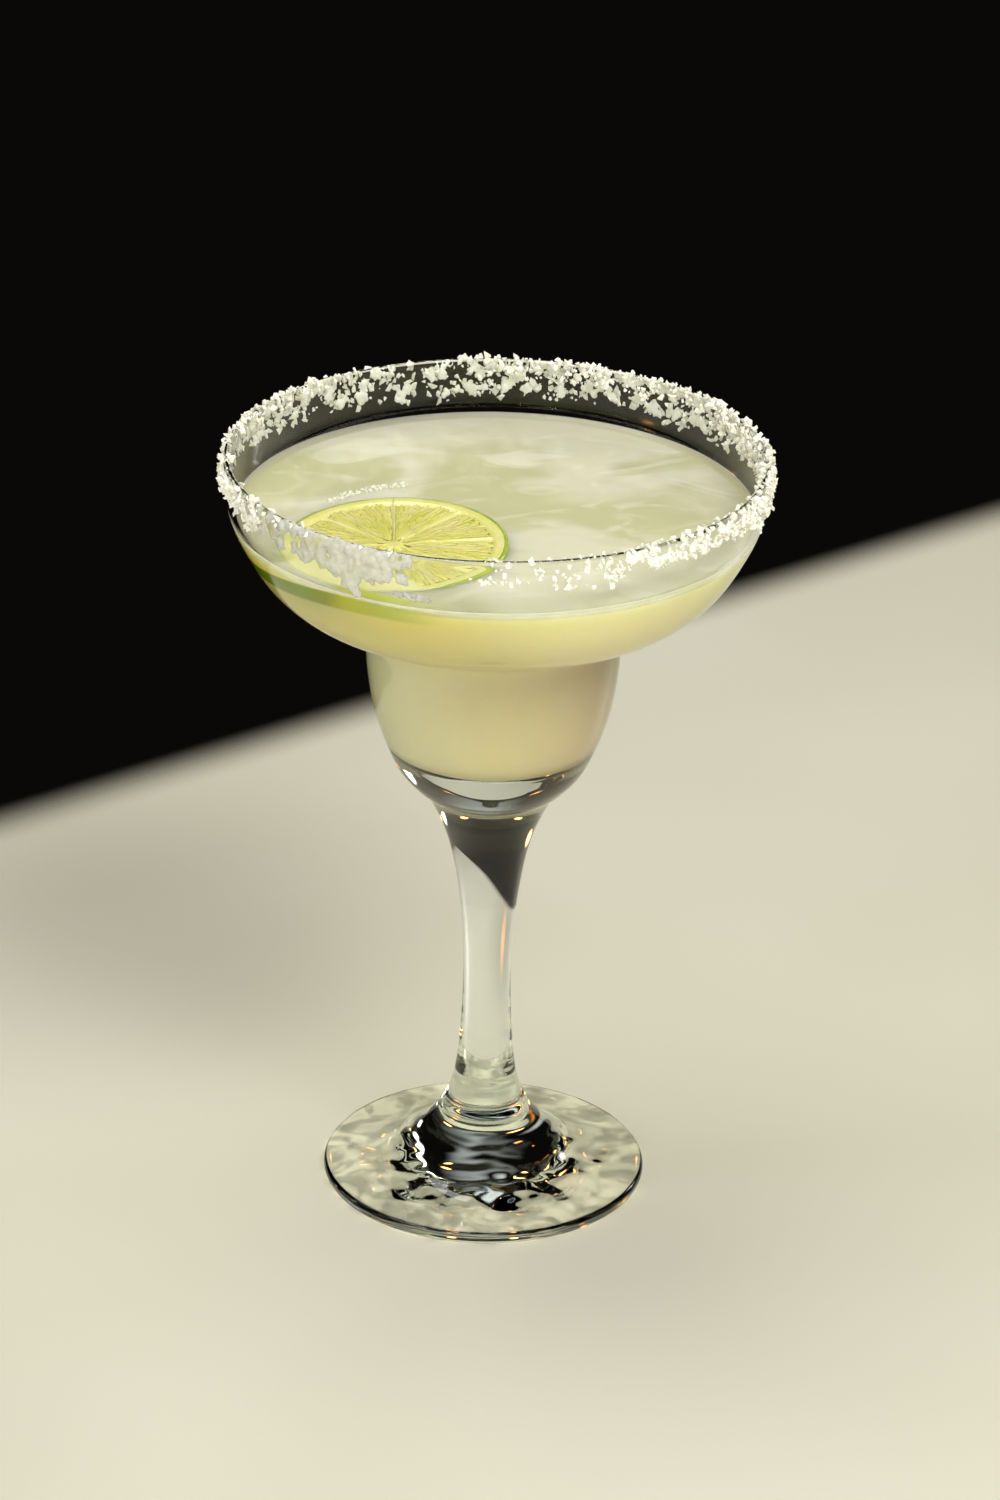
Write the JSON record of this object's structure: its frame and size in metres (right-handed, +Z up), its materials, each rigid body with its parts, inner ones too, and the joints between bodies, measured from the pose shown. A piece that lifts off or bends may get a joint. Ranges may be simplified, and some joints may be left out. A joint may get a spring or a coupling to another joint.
{
  "type": "cocktail in a stemmed glass",
  "caption": "Pale citrus cocktail in a stemmed glass: wide shallow bowl stepping down to a narrower cup, salted rim, round foot, and a lime wheel floating against the wall.",
  "frame": {"origin": "centre of the foot's underside, on the glass's axis, at the surface that it stands on", "axes": "+Z up along the glass's axis, -Y towards the side seen in the picture, +X to that view's right"},
  "size_m": [0.1222, 0.1216, 0.1763],
  "materials": {
    "glass": "clear polished glass with a faint green tint, coarse white salt on the rim",
    "drink": "wet cloudy pale yellow liquid",
    "lime": "wet yellow-green pulp, pale pith and green rind"
  },
  "bodies": {
    "root": {"glass": "glass", "drink": "drink", "lime_wheel": "lime"}
  },
  "joints": []
}
